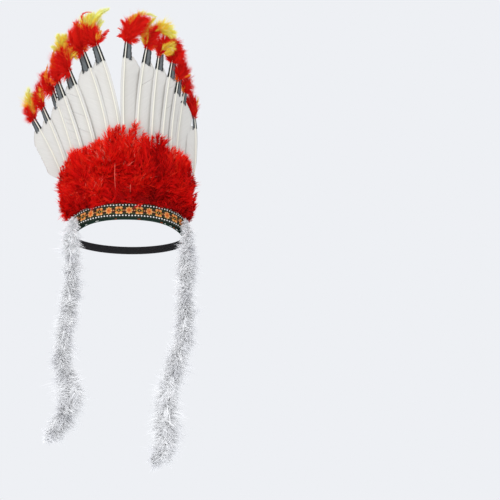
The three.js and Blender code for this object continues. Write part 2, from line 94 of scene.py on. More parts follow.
# Hackles of the tufts. Each springs from the end of its quill's shaft, bends towards the
# pull point and ends at the tip point, both given where they lie in the picture.
# half: reach of the barbs, root and end: tone from red 0.2 over orange 0.6 and yellow 0.85
# to pale 1.0, front: lean to the front, bare: share of its length without barbs
HACKLE_COLUMNS = ("quill", "pull_x", "pull_y", "tip_x", "tip_y", "half", "root", "end", "front", "bare")
HACKLE_ROWS = (
    (1, 29, 117, 27, 107, 5.5, 0.22, 0.28, 4, 0), (1, 30, 110, 27, 88, 8.0, 0.62, 0.98, 2, 0.38),
    (1, 31, 112, 33, 92, 5.0, 0.60, 0.98, 1, 0.5), (1, 34, 107, 37, 91, 3.5, 0.22, 0.25, 2, 0),
    (1, 34, 110, 35, 98, 2.5, 0.60, 0.68, 5, 0.3), (1, 31, 118, 30, 122, 5.5, 0.20, 0.22, 3, 0),
    (2, 38, 98, 38, 82, 6.5, 0.22, 0.25, 1, 0), (2, 42, 98, 42, 88, 4.5, 0.60, 0.84, 6, 0.25),
    (2, 37, 104, 36, 92, 6.0, 0.22, 0.25, 2, 0), (2, 41, 108, 41, 102, 7.0, 0.20, 0.22, 3, 0),
    (3, 46, 88, 43, 72, 7.0, 0.21, 0.24, 2, 0), (3, 50, 84, 47, 73, 7.0, 0.18, 0.22, 4, 0),
    (3, 44, 80, 48, 63, 2.4, 0.58, 0.68, 9, 0.25), (3, 50, 94, 47, 89, 8.0, 0.20, 0.22, 3, 0),
    (4, 55, 78, 51, 63, 7.5, 0.19, 0.24, 2, 0), (4, 58, 74, 54, 60, 7.0, 0.18, 0.22, 4, 0),
    (4, 57, 68, 54, 54, 2.6, 0.62, 0.76, 10, 0.4), (4, 55, 86, 52, 81, 3.6, 0.40, 0.58, 6, 0.3),
    (4, 48, 66, 55, 47, 2.6, 0.56, 0.70, 5, 0.35), (5, 66, 62, 61, 48, 8.5, 0.19, 0.21, 6, 0),
    (5, 60, 68, 56, 54, 8.0, 0.19, 0.23, 3, 0), (5, 66, 74, 60, 72, 8.0, 0.19, 0.20, 5, 0),
    (5, 62, 54, 57, 34, 8.0, 0.66, 0.90, 3, 0.45), (5, 62, 50, 63, 33, 7.0, 0.68, 0.88, 3, 0.5),
    (5, 60, 50, 51, 45, 4.0, 0.80, 0.98, 1, 0.5), (5, 67, 50, 76, 58, 6.0, 0.64, 0.84, 11, 0.35),
    (5, 66, 54, 72, 50, 5.0, 0.60, 0.78, 10, 0.4), (6, 72, 50, 69, 29, 9.0, 0.24, 0.27, 5, 0),
    (6, 76, 40, 76, 21, 10.0, 0.25, 0.29, 2, 0), (6, 82, 38, 85, 17, 6.0, 0.25, 0.30, 0, 0),
    (6, 78, 56, 73, 49, 6.0, 0.20, 0.22, 6, 0), (6, 84, 50, 88, 46, 3.0, 0.40, 0.60, 2, 0),
    (7, 90, 40, 84, 25, 8.5, 0.23, 0.26, 4, 0), (7, 94, 34, 90, 27, 7.0, 0.23, 0.29, 2, 0),
    (7, 88, 44, 82, 36, 7.0, 0.20, 0.23, 5, 0), (7, 82, 17, 110, 7, 5.5, 0.76, 1.00, 1, 0.40),
    (7, 76, 24, 91, 13, 7.0, 0.74, 0.93, 1, 0.40), (7, 82, 22, 98, 13, 7.0, 0.74, 0.98, 2, 0.40),
    (7, 92, 26, 102, 19, 5.5, 0.96, 1.00, -3, 0.45), (7, 67, 8, 93, 11, 1.4, 0.24, 0.40, 4, 0.45),
    (7, 95, 38, 101, 30, 3.5, 0.60, 0.75, 5, 0.3), (7, 101, 40, 109, 28, 3.0, 0.24, 0.28, 1, 0),
    (8, 133, 27, 146, 19, 11.0, 0.23, 0.26, 4, 0), (8, 127, 27, 137, 16, 9.0, 0.24, 0.27, 1, 0),
    (8, 130, 28, 120, 20, 4.0, 0.25, 0.30, 2, 0), (8, 126, 32, 117, 28, 2.0, 0.30, 0.50, 0, 0.2),
    (8, 126, 38, 120, 33, 4.5, 0.23, 0.26, 4, 0), (8, 124, 36, 117, 37, 2.6, 0.25, 0.30, 3, 0.2),
    (8, 132, 42, 139, 39, 4.0, 0.25, 0.30, 3, 0), (8, 128, 3, 160, 17, 3.2, 0.80, 0.98, 1, 0.42),
    (8, 125, 17, 138, 14, 4.0, 0.72, 0.84, 2, 0.5), (9, 147, 34, 158, 27, 8.5, 0.22, 0.25, 5, 0),
    (9, 152, 42, 157, 32, 7.0, 0.22, 0.25, 3, 0), (9, 138, 31, 155, 18, 5.0, 0.76, 0.86, 9, 0.1),
    (9, 140, 36, 147, 25, 3.5, 0.76, 0.86, 9, 0.1), (9, 152, 15, 175, 34, 9.0, 0.76, 0.88, 3, 0.40),
    (9, 156, 22, 172, 36, 8.0, 0.74, 0.87, 2, 0.5), (9, 158, 2, 178, 40, 2.0, 0.94, 1.00, -1, 0.45),
    (9, 154, 50, 155, 42, 3.6, 0.40, 0.56, 1, 0.1), (10, 158, 42, 172, 37, 7.5, 0.22, 0.25, 4, 0),
    (10, 166, 36, 181, 47, 7.5, 0.20, 0.24, 2, 0.15), (10, 160, 46, 166, 43, 7.0, 0.20, 0.23, 5, 0),
    (10, 186, 46, 178, 57, 6.0, 0.20, 0.24, 2, 0.4), (10, 164, 46, 173, 48, 5.5, 0.74, 0.85, 9, 0.3),
    (10, 165, 56, 172, 52, 4.0, 0.70, 0.84, 9, 0.4), (11, 170, 56, 179, 52, 7.0, 0.19, 0.22, 4, 0),
    (11, 174, 60, 182, 58, 6.5, 0.19, 0.21, 3, 0), (11, 176, 56, 179, 45, 5.0, 0.19, 0.22, 2, 0.2),
    (11, 169, 60, 167, 55, 5.0, 0.21, 0.24, 3, 0), (12, 177, 70, 181, 61, 7.5, 0.16, 0.19, 3, 0),
    (12, 182, 76, 187, 69, 6.5, 0.16, 0.21, 2, 0), (12, 181, 72, 184, 64, 6.0, 0.16, 0.19, 1, 0),
    (12, 176, 82, 176, 76, 2.6, 0.50, 0.60, 4, 0), (12, 187, 77, 190, 73, 1.4, 0.55, 0.66, 2, 0.5),
    (13, 184, 84, 187, 75, 7.5, 0.16, 0.19, 3, 0), (13, 188, 90, 190, 81, 6.5, 0.16, 0.19, 1, 0),
    (13, 181, 92, 182, 85, 2.8, 0.60, 0.72, 5, 0), (14, 193, 106, 188, 90, 7.0, 0.16, 0.19, 3, 0),
    (14, 189, 108, 186, 97, 6.5, 0.17, 0.19, 2, 0), (14, 196, 108, 194, 97, 3.5, 0.19, 0.30, 0, 0.1),
    (14, 198, 106, 198, 96, 1.6, 0.60, 0.98, 0, 0.6),
)
HACKLES = named(HACKLE_COLUMNS, HACKLE_ROWS)

# Crest of the fringe, from left to right: place of the root on the band, then where the
# plume that springs there ends. On the left it leans out with the quills, in front of them
CREST_COLUMNS = ("angle", "x", "y", "z")
CREST_ROWS = (
    (-70, -109, -52, 72), (-65, -104, -63, 88), (-60, -98, -67, 92), (-49, -84, -78, 106),
    (-40, -71, -88, 107), (-31, -56, -94, 119), (-21, -38, -99, 116), (-16.5, -30, -101, 142),
    (-7.5, -14, -103, 144), (-3, -6, -104, 114), (1.5, 2, -104, 143), (7, 11, -104, 149),
    (12.5, 22, -103, 112), (19, 34, -101, 131), (27, 48, -97, 126), (33, 56, -92, 102),
    (39, 65, -87, 116), (45.5, 74, -79, 104), (54, 84, -69, 98), (61, 92, -59, 98),
    (69, 100, -42, 68),
)
CREST = dict(zip(CREST_COLUMNS, np.transpose(CREST_ROWS)))

# Tails: angle and height of the sewn end on the trim, then steps from there sideways, back
# and up, with the share of the full width
BOA_STANDOFF = 5.1
BOA_HALF_WIDTH = 22.0
BOA_CORE = 6.5
BOA_PLACES = 200
BOA_TUFTS = 430
BOA_STRANDS = 56
BOA_LEFT_SEWN = (-53.7, 10)
BOA_RIGHT_SEWN = (55.7, 10)
BOA_LEFT_LINE = (
    (0, 0, 0, 0.38), (-2.5, -1.8, -11, 0.52), (-4, -1, -29, 0.8), (-1.5, 12.6, -84, 1),
    (-3, 14.6, -123, 0.95), (-10, 14.6, -162, 0.95), (-11, 14, -191, 1), (-12.5, 12.6, -219, 1),
    (2, 10.6, -247, 1.15), (3, 10.6, -273, 1.2), (-8, 10.6, -292, 1.15), (-16, 10.6, -310, 1),
    (-30, 10.6, -328, 0.55),
)
BOA_RIGHT_LINE = (
    (0, 0, 0, 0.38), (3.5, -1.7, -11, 0.52), (4.5, 0, -31, 0.8), (4, 8, -62, 0.95),
    (2, 10, -110, 0.95), (2, 12, -159, 0.98), (-2, 12, -185, 1.05), (-17, 10, -226, 1.1),
    (-22, 8, -255, 1.15), (-24, 6, -282, 1.2), (-26, 4, -308, 1.3), (-25, 2, -335, 1.25),
    (-31, 0, -352, 1.0), (-45, -1, -357, 0.6),
)

# Camera: where the front of the band lies in the picture, and how the lens sees it
CAMERA_ELEVATION = -13.0
CAMERA_DISTANCE = 2200.0
MM_PER_PIXEL = 1.5
BAND_FRONT_PIXEL = (129.0, 217.0)
SENSOR_MM = 36.0

FLOOR_HEIGHT = -1050.0
FLOOR_SIDE = 12000.0
BACKDROP = (0.855, 0.871, 0.905)
LIGHT_SIZE = 1.6


def smooth(t):
    c = np.clip(t, 0.0, 1.0)
    return c * c * (3 - 2 * c)


def unit(v):
    return v / np.maximum(np.linalg.norm(v, axis=-1, keepdims=True), 1e-12)


def square_to(way, v):
    """The direction of v with its part along the unit vector way taken out."""
    return unit(v - way * np.sum(v * way, -1, keepdims=True))


def ring_point(radius, angle, z):
    """Points about the vertical axis in millimetres, angle 0 at the front."""
    a = np.radians(angle)
    return np.stack(np.broadcast_arrays(radius * np.sin(a), -radius * np.cos(a), z), -1)


def band_dip(angle):
    """How far the band has dropped at an angle; behind its ends the elastic levels out."""
    t = (1 - np.cos(np.radians(angle))) / (1 - math.cos(math.radians(BAND_END_ANGLE)))
    behind = 1 + DIP_SLACK * (1 - np.exp(-DIP_POWER * np.maximum(t - 1, 0) / DIP_SLACK))
    return BAND_DIP * np.where(t < 1, t**DIP_POWER, behind)


def on_band(radius, angle, z):
    """A point on the dipped band, z counted from the lower edge of the trim."""
    return ring_point(radius, angle, z - band_dip(angle))


def spline(p, count):
    """A smooth curve through the points p, evenly spaced."""
    padded = np.vstack([2 * p[0] - p[1], p, 2 * p[-1] - p[-2]])
    t = np.linspace(0, 1, 24, endpoint=False)[:, None]
    fine = []
    for a, b, c, d in zip(padded, padded[1:], padded[2:], padded[3:]):
        fine.append(
            0.5 * (2 * b + (c - a) * t + (2 * a - 5 * b + 4 * c - d) * t**2
                   + (3 * b - a - 3 * c + d) * t**3)
        )
    fine = np.vstack(fine + [p[-1:]])
    run = np.concatenate([[0], np.cumsum(np.linalg.norm(np.diff(fine[:, :3], axis=0), axis=1))])
    at = np.linspace(0, run[-1], count)
    return np.stack([np.interp(at, run, fine[:, k]) for k in range(fine.shape[1])], 1)


def arc(start, pull, end, s):
    """Places at shares s of a curve from start to end, bent towards the pull point."""
    return start * (1 - s) ** 2 + pull * 2 * s * (1 - s) + end * s**2


def path_length(line):
    return np.sum(np.linalg.norm(np.diff(line, axis=0), axis=1))


def between(line, where):
    """Values at shares of a line of points, and the number of the point before each."""
    spot = where * (len(line) - 1)
    low = np.clip(spot.astype(int), 0, len(line) - 2)
    part = (spot - low)[:, None]
    return line[low] * (1 - part) + line[low + 1] * part, low


# Camera


def aim_camera():
    """The front of the band goes to its place in the picture, seen from below."""
    tilt = math.radians(CAMERA_ELEVATION)
    look = np.array([0, math.cos(tilt), -math.sin(tilt)])
    top = np.array([0, math.sin(tilt), math.cos(tilt)])
    right = np.array([1.0, 0, 0])
    front = np.array([0, -TRIM_OUTER, 0])
    view = {"eye": front - look * CAMERA_DISTANCE}
    goal = np.array(BAND_FRONT_PIXEL)
    step = PICTURE_SIDE / 2 - goal
    # the aim is turned a little further until the front of the band falls on its pixel
    for _ in range(6):
        aim = look * CAMERA_DISTANCE + (right * step[0] - top * step[1]) * MM_PER_PIXEL
        view["focal"] = np.linalg.norm(aim) / MM_PER_PIXEL
        view["ahead"] = unit(aim)
        view["level"] = unit(np.cross(view["ahead"], UP))
        view["above"] = np.cross(view["level"], view["ahead"])
        step = step - (goal - view_pixel(view, front))
    return view


def view_pixel(view, point):
    """Where a point in millimetres falls in the picture."""
    way = point - view["eye"]
    way = way / np.dot(way, view["ahead"])
    across = np.array([np.dot(way, view["level"]), -np.dot(way, view["above"])])
    return PICTURE_SIDE / 2 + view["focal"] * across


VIEW = aim_camera()


# Meshes


def link_object(name, data):
    obj = bpy.data.objects.new(name, data)
    bpy.context.scene.collection.objects.link(obj)
    return obj


def aim_object(name, data, place, way):
    obj = link_object(name, data)
    obj.location = place
    obj.rotation_euler = Vector(way).to_track_quat("-Z", "Y").to_euler()
    return obj


class Soup:
    """Collects vertices, faces, texture places and slots, and makes one mesh of them."""

    def __init__(self):
        self.verts = []
        self.uvs = []
        self.faces = []
        self.slots = []
        self.count = 0

    def add(self, verts, faces, uvs, slot=0):
        self.verts.append(verts.reshape(-1, 3))
        self.uvs.append(uvs.reshape(-1, 2))
        for group in faces:
            self.faces.append(group + self.count)
            self.slots.append(np.full(len(group), slot))
        self.count += len(self.verts[-1])

    def build(self, name, materials, node=None, smooth_faces=True):
        """Makes the piece with its materials, hangs it on the root and hides the CAD part of the node
        that it replaces.
        """
        mesh = bpy.data.meshes.new(name)
        faces = [face for group in self.faces for face in group.tolist()]
        mesh.from_pydata(np.vstack(self.verts) * MM, [], faces)
        mesh.polygons.foreach_set("material_index", np.concatenate(self.slots).astype(np.int32))
        mesh.polygons.foreach_set("use_smooth", np.full(len(faces), smooth_faces))
        loops = np.concatenate([group.ravel() for group in self.faces])
        layer = mesh.uv_layers.new(name="strand")
        layer.data.foreach_set("uv", np.vstack(self.uvs)[loops].ravel())
        for material in materials:
            mesh.materials.append(material)
        mesh.validate()
        obj = link_object(name, mesh)
        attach(obj, "root")
        if node:
            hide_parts(node)


# Width of a strand at each step along it, before it runs out into a point
TAPER = {2: (1.0, 0.8), 3: (1.0, 1.0, 0.72)}


def add_strands(soup, root, way, bend, length, width, across, tone, steps=3, curl=0.0):
    """Adds tapering ribbons, one for each root, bent along the way. The map holds their tone."""
    n = len(root)
    length = np.broadcast_to(length, n)[:, None]
    half = square_to(way, across) * np.broadcast_to(width, n)[:, None] / 2
    verts = []
    uvs = []
    for k, share in enumerate((*TAPER[steps], 0)):
        s = k / steps
        spot = root + way * length * s + bend * length * s * s + curl * length * s**3
        for hand in (-1, 1) if share else (0,):
            verts.append(spot + hand * share * half)
            uvs.append(np.stack([tone + 0.008 * hand, np.full(n, 0.02 + 0.96 * s)], 1))
    base = (np.arange(n) * len(verts))[:, None]
    quads = np.concatenate([base + 2 * k + np.array([[0, 1, 3, 2]]) for k in range(steps - 1)])
    tips = base + 2 * steps + np.array([[-2, -1, 0]])
    soup.add(np.stack(verts, 1), [quads, tips], np.stack(uvs, 1))


def ring_quads(rings, sides):
    """Faces between rings of points that follow each other."""
    k = np.arange(sides)
    after = (k + 1) % sides
    low = np.arange(rings - 1)[:, None] * sides
    return np.stack([low + k, low + after, low + sides + after, low + sides + k], -1).reshape(-1, 4)


def fan(first, sides, centre):
    """Faces from a ring of points to the point at its centre."""
    k = np.arange(sides)
    return np.stack([first + k, first + (k + 1) % sides, np.full(sides, centre)], 1)


def add_tube(soup, line, radius, sides, tone, slot=0, first=None):
    """A closed tube along a line. radius holds one value for each place."""
    n = len(line)
    run = unit(np.gradient(line, axis=0))
    first = square_to(run, np.cross(run, (0.31, 0.17, 0.93)) if first is None else first)
    second = np.cross(run, first)
    turn = np.linspace(0, 2 * np.pi, sides, endpoint=False)
    cos, sin = np.cos(turn)[None, :, None], np.sin(turn)[None, :, None]
    out = cos * first[:, None] + sin * second[:, None]
    ring = line[:, None] + np.broadcast_to(radius, n)[:, None, None] * out
    verts = np.vstack([ring.reshape(-1, 3), line[:1], line[-1:]])
    low = fan(0, sides, n * sides)[:, [1, 0, 2]]
    high = fan((n - 1) * sides, sides, n * sides + 1)
    along = np.repeat(np.linspace(0.02, 0.98, n), sides)
    around = tone + 0.01 * np.cos(np.tile(turn, n))
    uvs = np.vstack([np.stack([around, along], 1), [[tone, 0.02]], [[tone, 0.98]]])
    soup.add(verts, [ring_quads(n, sides), low, high], uvs, slot)


def add_shell(soup, grid, normal, thick, uvs):
    """A closed thin shell from a grid of points, half its thickness on each side."""
    rows, cols = grid.shape[:2]
    front = grid + normal * thick / 2
    verts = np.stack([front, grid - normal * thick / 2])
    index = np.arange(rows * cols).reshape(rows, cols)
    a, b = index[:-1, :-1].ravel(), index[:-1, 1:].ravel()
    c, d = index[1:, 1:].ravel(), index[1:, :-1].ravel()
    face = np.stack([a, b, c, d], 1)
    other = rows * cols
    rim = np.concatenate([index[0, :-1], index[:-1, -1], index[-1, :0:-1], index[:0:-1, 0]])
    after = np.roll(rim, -1)
    edge = np.stack([rim, rim + other, after + other, after], 1)
    if np.dot(np.cross(front[0, 1] - front[0, 0], front[1, 0] - front[0, 0]), normal[0, 0]) < 0:
        face = face[:, ::-1]
    soup.add(verts, [face, face[:, ::-1] + other, edge], np.vstack([uvs, uvs]))


# Materials

WHITE = (1.0, 1.0, 1.0)


class Paint:
    """A new material with a plain shader, and short ways to add nodes and link them."""

    def __init__(self, name, roughness):
        self.material = bpy.data.materials.new(name)
        self.material.use_nodes = True
        self.tree = self.material.node_tree
        self.shader = self.tree.nodes["Principled BSDF"]
        self.shader.inputs["Roughness"].default_value = roughness
        self.shader.inputs["Specular IOR Level"].default_value = 0.15

    def node(self, kind, output, values, links, **settings):
        """Adds a node and gives one of its outputs. links holds what feeds its sockets."""
        node = self.tree.nodes.new("ShaderNode" + kind)
        for name, value in settings.items():
            setattr(node, name, value)
        for socket, value in values.items():
            node.inputs[socket].default_value = value
        for socket, source in links.items():
            self.tree.links.new(source, node.inputs[socket])
        return node.outputs[output]

    def ramp(self, factor, stops, interpolation="LINEAR"):
        """Colours by a factor, from pairs of a place and a colour."""
        color = self.node("ValToRGB", "Color", {}, {"Fac": factor})
        ramp = color.node.color_ramp
        ramp.interpolation = interpolation
        while len(ramp.elements) < len(stops):
            ramp.elements.new(0.5)
        for element, (place, value) in zip(ramp.elements, stops):
            element.position = place
            element.color = (*value, 1.0)
        return color

    def multiply(self, first, second):
        return self.node("Mix", "Result", {"Factor": 1.0}, {"A": first, "B": second},
                         data_type="RGBA", blend_type="MULTIPLY")

    def wave(self, place, direction, scale, distortion):
        return self.node("TexWave", "Fac", {"Scale": scale, "Distortion": distortion},
                         {"Vector": place}, wave_type="BANDS", bands_direction=direction)

    def strand_place(self):
        """The place on the mesh's own map, then its two parts."""
        place = self.node("UVMap", "UV", {}, {}, uv_map="strand")
        parts = self.node("SeparateXYZ", "X", {}, {0: place}).node.outputs
        return place, parts["X"], parts["Y"]

    def finish(self, color, height=None, strength=0.0, distance=0.0):
        """Feeds the shader its colour and, where a height is given, a relief."""
        self.tree.links.new(color, self.shader.inputs["Base Color"])
        if height is not None:
            values = {"Strength": strength, "Distance": distance}
            normal = self.node("Bump", "Normal", values, {"Height": height})
            self.tree.links.new(normal, self.shader.inputs["Normal"])
        return self.material


def strand_material(name, across_stops, along_stops, roughness=0.8):
    """Colour by the tone of each strand, times a ramp along it; on the plumes that ramp is painted shade
    at the roots.
    """
    paint = Paint(name, roughness)
    _, tone, along = paint.strand_place()
    return paint.finish(paint.multiply(paint.ramp(tone, across_stops), paint.ramp(along, along_stops)))


def vane_material(name, base, streak, edge, roughness):
    """Barbs drawn as fine lines across the vane, with broad soft streaks. The edge ramp colours across
    the vane: painted shade beside the shaft on the white vane, the dark edges of the black one.
    """
    paint = Paint(name, roughness)
    place, _, across = paint.strand_place()
    stretched = paint.node("Mapping", "Vector", {"Scale": (60.0, 1.2, 1.0)}, {"Vector": place})
    broad = paint.node("TexNoise", "Fac", {"Scale": 1.0, "Detail": 3.0}, {"Vector": stretched})
    streaks = paint.ramp(broad, ((0.3, streak), (0.62, base)))
    color = paint.multiply(streaks, paint.ramp(across, edge))
    return paint.finish(color, paint.wave(place, "X", 45.0, 1.0), 0.2, 0.0003)


def palette_material(name, colors, roughness):
    """One flat colour for each step of the map's first part."""
    paint = Paint(name, roughness)
    _, tone, _ = paint.strand_place()
    stops = [(k / len(colors), color) for k, color in enumerate(colors)]
    return paint.finish(paint.ramp(tone, stops, "CONSTANT"))


def cloth_material(name, light, dark, step, rib):
    """A plain weave or rib from the place in space, for the band and the elastic. The colour follows the
    height of the relief, darker in its low places: painted shade in the hollows of the weave.
    """
    paint = Paint(name, 0.85)
    place = paint.node("TexCoord", "Object", {}, {})
    links = {"A": paint.wave(place, "Z", step, 0.4), "B": paint.wave(place, "DIAGONAL", step * 0.8, 0.4)}
    both = paint.node("Mix", "Result", {"Factor": rib}, links, data_type="FLOAT")
    return paint.finish(paint.ramp(both, ((0.2, dark), (0.8, light))), both, 0.5, 0.0004)


# darker next to the shaft: painted shade beside the shaft
white_vane = vane_material(
    "white_vane", (0.68, 0.664, 0.622), (0.637, 0.621, 0.582),
    ((0.0, (0.90, 0.89, 0.85)), (0.35, WHITE)), 0.6,
)
black_vane = vane_material(
    "black_vane", (0.155, 0.17, 0.175), (0.09, 0.10, 0.105),
    ((0.0, (0.12, 0.12, 0.12)), (0.2, (0.14, 0.14, 0.14)), (0.3, WHITE), (0.72, WHITE),
     (0.84, (0.16, 0.16, 0.16))),
    0.5,
)
shaft_cream = strand_material(
    "quill_shaft",
    ((0.0, (0.80, 0.775, 0.66)), (1.0, (0.84, 0.82, 0.73))),
    ((0.0, (0.86, 0.8, 0.66)), (0.4, WHITE), (1.0, WHITE)),
    0.4,
)
# the along ramp darkens the roots: painted shade deep in the down of the fringe
red_plume = strand_material(
    "red_plume",
    ((0.0, (0.40, 0.0, 0.0)), (0.30, (0.74, 0.001, 0.001)), (0.60, (0.95, 0.006, 0.002)),
     (0.90, (1.0, 0.045, 0.012)), (0.97, (0.92, 0.14, 0.09)), (1.0, (0.86, 0.30, 0.24))),
    ((0.0, (0.62, 0.55, 0.55)), (0.45, (0.92, 0.9, 0.9)), (0.8, WHITE), (1.0, WHITE)),
)
# the along ramp darkens the roots: painted shade where the barbs crowd together
tuft_plume = strand_material(
    "tuft_plume",
    ((0.0, (0.50, 0.0, 0.0)), (0.25, (0.82, 0.008, 0.003)), (0.45, (0.92, 0.035, 0.01)),
     (0.60, (0.93, 0.20, 0.02)), (0.72, (0.92, 0.55, 0.04)), (0.86, (0.90, 0.84, 0.09)),
     (1.0, (0.90, 0.93, 0.46))),
    ((0.0, (0.8, 0.78, 0.78)), (0.5, WHITE), (1.0, WHITE)),
)
# low tones are grey: painted shade of tufts shadowed by others; the along ramp paints shade at the roots
# and the tips
white_plume = strand_material(
    "white_plume",
    ((0.0, (0.72, 0.72, 0.74)), (0.35, (0.96, 0.96, 0.97)), (0.6, WHITE), (1.0, WHITE)),
    ((0.0, (0.90, 0.90, 0.91)), (0.4, WHITE), (0.7, WHITE), (1.0, (0.90, 0.90, 0.91))),
)

# Quills

VANE_THICK = 0.45
VANE_ROWS = 84
VANE_COLUMNS = 9
# How hollow each half of the vane is, as a share of its width
VANE_HOLLOW = 0.10
SHOULDER = 26.0
# Narrow half of the feather: its width, its width at the black section
NARROW_VANE = 4.4
NARROW_SHOULDER = 3.6
NARROW_BLACK = 3.2
BLACK_THICK = 0.4
BLACK_ROWS = 26
# Shaft: radius at its foot, at the top of the band and at its tip, and what stands past the tip
SHAFT_RADII = (1.55, 1.6, 0.85)
SHAFT_PAST_TIP = 9.0
# Shares of the shaft where the vane has turned from the band, and where it ends to follow
# the next shaft
TURNED_AT = 0.25
LEAVES_AT = 0.78
LEAVES_OVER = 0.14


def quill_curve(row, u):
    """Places on the free part of a quill, with its lower end, pull point and tip."""
    knee = on_band(QUILL_RADIUS, row["angle"], QUILL_KNEE)
    tip = knee + np.array([row["reach"], -QUILL_FRONT_LEAN - row["front"], row["rise"]])
    pull = (knee + tip) / 2 + np.array([2 * row["bow"], -row["front"], 0])
    return arc(knee, pull, tip, u), knee, pull, tip


def vane_facing(row, t, place):
    """Where the vane faces: out at the band, behind the next shaft higher up, then by the table."""
    turned = smooth(t / TURNED_AT)
    facing = row["angle"] + (row["face"] - row["angle"]) * turned
    if "behind" not in row:
        return facing
    _, knee, _, tip = quill_curve(row["behind"], 0)
    u = np.clip((place[:, 2] - knee[2]) / (tip[2] - knee[2]), 0, None)[:, None]
    step = (quill_curve(row["behind"], u)[0] - place) * row["wing"]
    chord = np.degrees(np.arctan2(step[:, 1], step[:, 0])) + 4 * row["wing"]
    return facing + (chord - facing) * turned * (1 - smooth((t - LEAVES_AT) / LEAVES_OVER))


def quill_frame(row, t):
    """Places on a quill's centre line with its tangent, side and face directions."""
    t = np.atleast_1d(np.asarray(t, float))
    u = np.clip(t, 0, None)[:, None]
    place, knee, pull, tip = quill_curve(row, u)
    place[:, 2] += np.minimum(t, 0) * (QUILL_KNEE - QUILL_FOOT)
    tangent = unit(2 * (1 - u) * (pull - knee) + 2 * u * (tip - pull))
    upright = np.clip(-t * 8, 0, 1)[:, None]
    tangent = unit(tangent * (1 - upright) + UP * upright)
    face = ring_point(1.0, vane_facing(row, t, place), 0.0)
    face = square_to(tangent, face)
    side = unit(np.cross(face, tangent))
    side[side[:, 0] * row["wing"] < 0] *= -1
    return place, tangent, side, face


def quill_length(row):
    return path_length(quill_frame(row, np.linspace(0, 1, 60))[0])


def add_blade(soup, row, t, across, lift, thick, map_x, map_y):
    """A thin shell beside the shaft: how far up, across and to the front its points lie."""
    place, _, side, face = quill_frame(row, t.ravel())
    grid = place + side * across.reshape(-1, 1) + face * lift.reshape(-1, 1)
    uv = np.stack([np.broadcast_to(v, t.shape).ravel() for v in (map_x, map_y)], 1)
    add_shell(soup, grid.reshape(*t.shape, 3), face.reshape(*t.shape, 3), thick, uv)


def vane_outline(row, t, length, full, black_wide):
    """Reach of the vane from the shaft: bare foot, full width, trimmed shoulder."""
    rise = np.sqrt(smooth((t - row["start"]) / 0.13))
    shoulder = SHOULDER / length
    fall = smooth((1 - row["black"] / length + 0.25 * shoulder - t) / shoulder) ** 0.6
    reach = full * rise
    return black_wide + (reach - black_wide) * fall if full > black_wide else reach


def add_vane_half(soup, row, rng, sign, full, black_wide, slant):
    """One half of the white vane, its grid rows laid along the barbs, split in places."""
    length = quill_length(row)
    black_at = 1 - (row["black"] - 1.5) / length
    base = np.linspace(row["start"] - 0.02, black_at, VANE_ROWS)
    # the reach is counted along the barbs, so it nears the outline in small steps
    reach = np.full(VANE_ROWS, full * 0.7)
    for _ in range(30):
        there = base + slant * reach / length
        reach = 0.6 * reach + 0.4 * vane_outline(row, there, length, full, black_wide)
    room = np.maximum((black_at + 1.2 / length - base) * length / slant, 0.0)
    reach = np.maximum(np.minimum(reach, room), 0.25)
    reach *= 1 + 0.012 * rng.standard_normal(VANE_ROWS)
    splits = row["splits"] if sign > 0 else 0
    cuts = np.sort(rng.choice(np.arange(16, VANE_ROWS - 12), splits, replace=False))
    s = np.linspace(0, 1, VANE_COLUMNS)[None, :]
    for a, b in zip([0, *cuts], [*cuts, VANE_ROWS - 1]):
        index = np.arange(a, b + 1)
        across = reach[index][:, None] * s
        part = (index - a)[:, None] / (b - a)
        # the ends of a group of barbs draw together away from the splits on each side
        draw = (0.5 - part) * np.clip(s - 0.45, 0, 1) ** 2 * 2.6
        t = base[index][:, None] + (slant * across * (0.75 + 0.25 * s) + draw) / length
        wave = 0.4 * np.sin(t * 13 + row["angle"]) + 0.07 * np.sin(t * 55 + 2 * row["angle"])
        lift = (wave - VANE_HOLLOW * full) * s**2 + rng.normal(0, 0.05) * s
        add_blade(soup, row, t, sign * across, lift, VANE_THICK, base[index][:, None] * length / 100, s)


def make_feather(number, row):
    rng = np.random.default_rng(100 + number)
    soup = Soup()
    add_vane_half(soup, row, rng, 1, row["wide"], row["black_wide"], 0.9)
    add_vane_half(soup, row, rng, -1, NARROW_VANE, NARROW_SHOULDER, 1.6)
    t = np.concatenate([[-1, -0.5], np.linspace(0, 1 + SHAFT_PAST_TIP / quill_length(row), 30)])
    place, _, _, face = quill_frame(row, t)
    radius = np.interp(t, [-1, 0, 1], SHAFT_RADII)
    radius[0] *= 0.6
    radius[-1] *= 0.5
    add_tube(soup, place + face * 0.35, radius, 8, 0.5, 1, face)
    materials = [white_vane, shaft_cream]
    soup.build(f"feather_{number:02d}", materials, f"quill_{number:02d}")


def make_black_tip(number, row):
    rng = np.random.default_rng(300 + number)
    length = quill_length(row)
    soup = Soup()
    v = np.linspace(0, 1, BLACK_ROWS)[:, None]
    for sign, wide, columns, dip in ((1, row["black_wide"], 12, 4.0), (-1, NARROW_BLACK, 6, 1.5)):
        s = np.linspace(0, 1, columns)[None, :]
        ragged = rng.uniform(-2.2, 2.2, columns)
        ragged[0] *= 0.3
        low = row["black"] + dip * s + ragged[None, :] * 0.7
        down = low + (-2.0 - low) * v
        grow = 1.0 + 0.16 * v[::-1] - 0.18 * v
        edge = 1 + 0.03 * rng.standard_normal((BLACK_ROWS, 1))
        across = np.maximum(0.9 + (wide * grow * edge - 0.9) * s, 0.5)
        t = 1 - down / length
        lift = 0.42 - 0.035 * wide * s**2 + 0 * v
        shade = s if sign > 0 else 0.02 + 0.16 * s
        map_x = (t - 0.010 * across) * length / 100
        add_blade(soup, row, t, sign * across, lift, BLACK_THICK, map_x, shade)
    soup.build(f"black_vane_{number:02d}", [black_vane], f"black_tip_{number:02d}")


# Plumes

